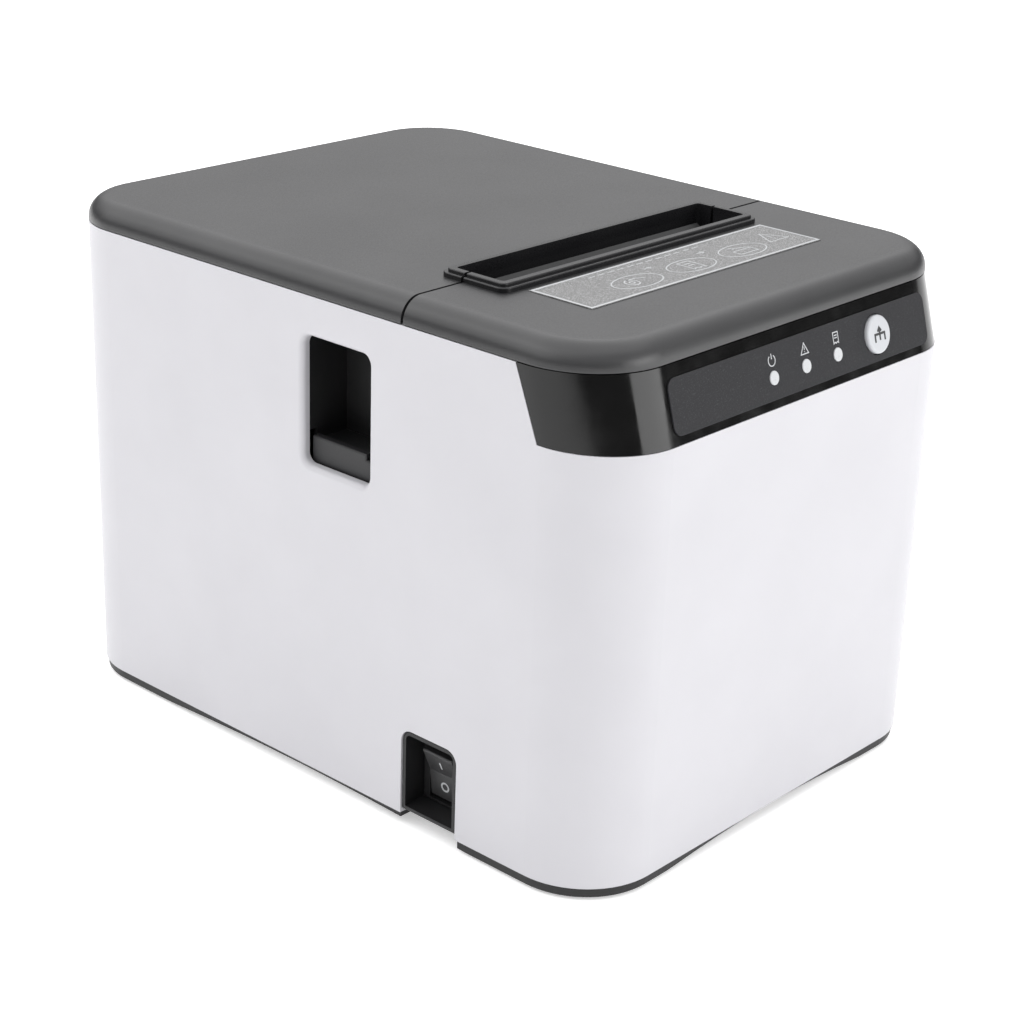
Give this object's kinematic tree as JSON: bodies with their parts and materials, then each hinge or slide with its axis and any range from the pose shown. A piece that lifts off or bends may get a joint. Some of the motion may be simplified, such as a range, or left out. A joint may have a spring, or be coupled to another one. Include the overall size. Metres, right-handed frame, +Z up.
{
  "type": "receipt printer",
  "caption": "Desktop receipt printer with a rear-hinged paper cover, a framed paper slot, a leaning status panel with a feed button, a side release lever and a side power rocker.",
  "frame": {"origin": "under the middle of the feet, on the surface it stands on", "axes": "+Z up, +Y towards the rear, +X to the right seen from the front"},
  "size_m": [0.142, 0.194, 0.139],
  "materials": {
    "white_plastic": "fine satin",
    "black_plastic": "matte",
    "rubber": "soft",
    "screw_steel": "turned",
    "gloss_black": "polished",
    "panel_film": "satin film",
    "clear_lens": "diffusing",
    "button_plastic": "satin silver",
    "circuit_board": "solder mask",
    "cover_plastic": "fine texture",
    "rim_plastic": "semi-gloss",
    "label_film": "speckled silver film",
    "plate_steel": "rolled",
    "gear_plastic": "moulded",
    "blade_steel": "ground",
    "brass": "machined",
    "motor_steel": "drawn",
    "ceramic": "smooth",
    "aluminium": "extruded",
    "spring_steel": "drawn wire",
    "lever_plastic": "satin",
    "component_plastic": "moulded",
    "port_steel": "nickel plated"
  },
  "bodies": {
    "chassis": {"body_shell": "white_plastic", "base_plate": "black_plastic", "rubber_feet": "rubber", "base_screws": "screw_steel", "front_bezel": "gloss_black", "panel_overlay": "panel_film", "led_lenses": "clear_lens", "panel_board": "circuit_board", "panel_leds": "clear_lens", "tact_switch": "black_plastic", "front_cover": "cover_plastic", "front_rim": "rim_plastic", "tear_bar": "black_plastic", "instruction_label": "label_film", "hinge_brackets": "plate_steel", "mechanism_frame": "plate_steel", "feed_motor": "motor_steel", "idler_axle": "screw_steel", "print_head": "ceramic", "head_heatsink": "aluminium", "head_springs": "spring_steel", "cutter_frame": "plate_steel", "cutter_motor": "motor_steel", "lever_recess": "black_plastic", "latch_spring": "spring_steel", "switch_surround": "black_plastic", "switch_body": "black_plastic", "switch_terminals": "brass", "paper_bucket": "black_plastic", "main_board": "circuit_board", "board_pillars": "brass", "board_components": "component_plastic", "connector_bay": "black_plastic", "dc_inlet": "component_plastic", "usb_port": "port_steel", "lan_port": "port_steel", "drawer_port": "component_plastic", "paper_sensor": "component_plastic"},
    "paper_lid": {"paper_cover": "cover_plastic", "rear_rim": "rim_plastic", "platen_holder": "black_plastic", "fixed_blade": "blade_steel", "exit_guide": "black_plastic", "hinge_pins": "screw_steel", "platen_bushes": "gear_plastic"},
    "platen": {"platen_roller": "rubber", "platen_shaft": "screw_steel", "platen_gear": "gear_plastic"},
    "idler": {"idler_gear": "gear_plastic"},
    "motor_rotor": {"motor_pinion": "brass", "motor_shaft": "screw_steel"},
    "cover_latch": {"release_lever": "lever_plastic", "latch_shaft": "screw_steel", "latch_hooks": "plate_steel"},
    "feed_key": {"feed_button": "button_plastic"},
    "power_rocker": {"switch_rocker": "lever_plastic"},
    "cutter_slide": {"moving_blade": "blade_steel", "cutter_rack": "gear_plastic"},
    "cutter_rotor": {"cutter_pinion": "gear_plastic", "cutter_shaft": "screw_steel"}
  },
  "joints": [
    {"name": "paper_lid_hinge", "type": "hinge", "parent": "chassis", "child": "paper_lid", "pos_m": [0, 0.0912, 0.1312], "axis": [-1, 0, 0], "range_deg": [0, 95]},
    {"name": "platen_spin", "type": "hinge", "parent": "paper_lid", "child": "platen", "pos_m": [-0.002, -0.0255, 0.118], "axis": [1, 0, 0], "continuous": true},
    {"name": "idler_spin", "type": "hinge", "parent": "chassis", "child": "idler", "pos_m": [0.0465, -0.0255, 0.1033], "axis": [1, 0, 0], "continuous": true},
    {"name": "motor_spin", "type": "hinge", "parent": "chassis", "child": "motor_rotor", "pos_m": [0.0465, -0.0395, 0.1033], "axis": [1, 0, 0], "continuous": true},
    {"name": "release_lever_press", "type": "hinge", "parent": "chassis", "child": "cover_latch", "pos_m": [-0.04, -0.027, 0.09], "axis": [-1, 0, 0], "range_deg": [0, 9], "stiffness_Nm_per_rad": 0.4, "deforming": ["latch_spring"]},
    {"name": "feed_button_press", "type": "slide", "parent": "chassis", "child": "feed_key", "axis": [0, 0.9605, -0.2783], "range_m": [0, 0.0005], "stiffness_N_per_m": 400},
    {"name": "power_rocker_tilt", "type": "hinge", "parent": "chassis", "child": "power_rocker", "pos_m": [-0.0622, -0.0437, 0.0156], "axis": [0, 1, 0], "range_deg": [0, 18]},
    {"name": "cutter_stroke", "type": "slide", "parent": "chassis", "child": "cutter_slide", "axis": [0, 1, 0], "range_m": [0, 0.006]},
    {"name": "cutter_pinion_spin", "type": "hinge", "parent": "chassis", "child": "cutter_rotor", "pos_m": [0.021, -0.071, 0.127], "axis": [0, 0, 1], "range_deg": [-72, 0]}
  ],
  "couplings": [
    {"joint": "idler_spin", "follows": "platen_spin", "ratio": -0.5},
    {"joint": "motor_spin", "follows": "platen_spin", "ratio": 1.1667},
    {"joint": "cutter_pinion_spin", "follows": "cutter_stroke", "rad_per_m": -208.33}
  ]
}
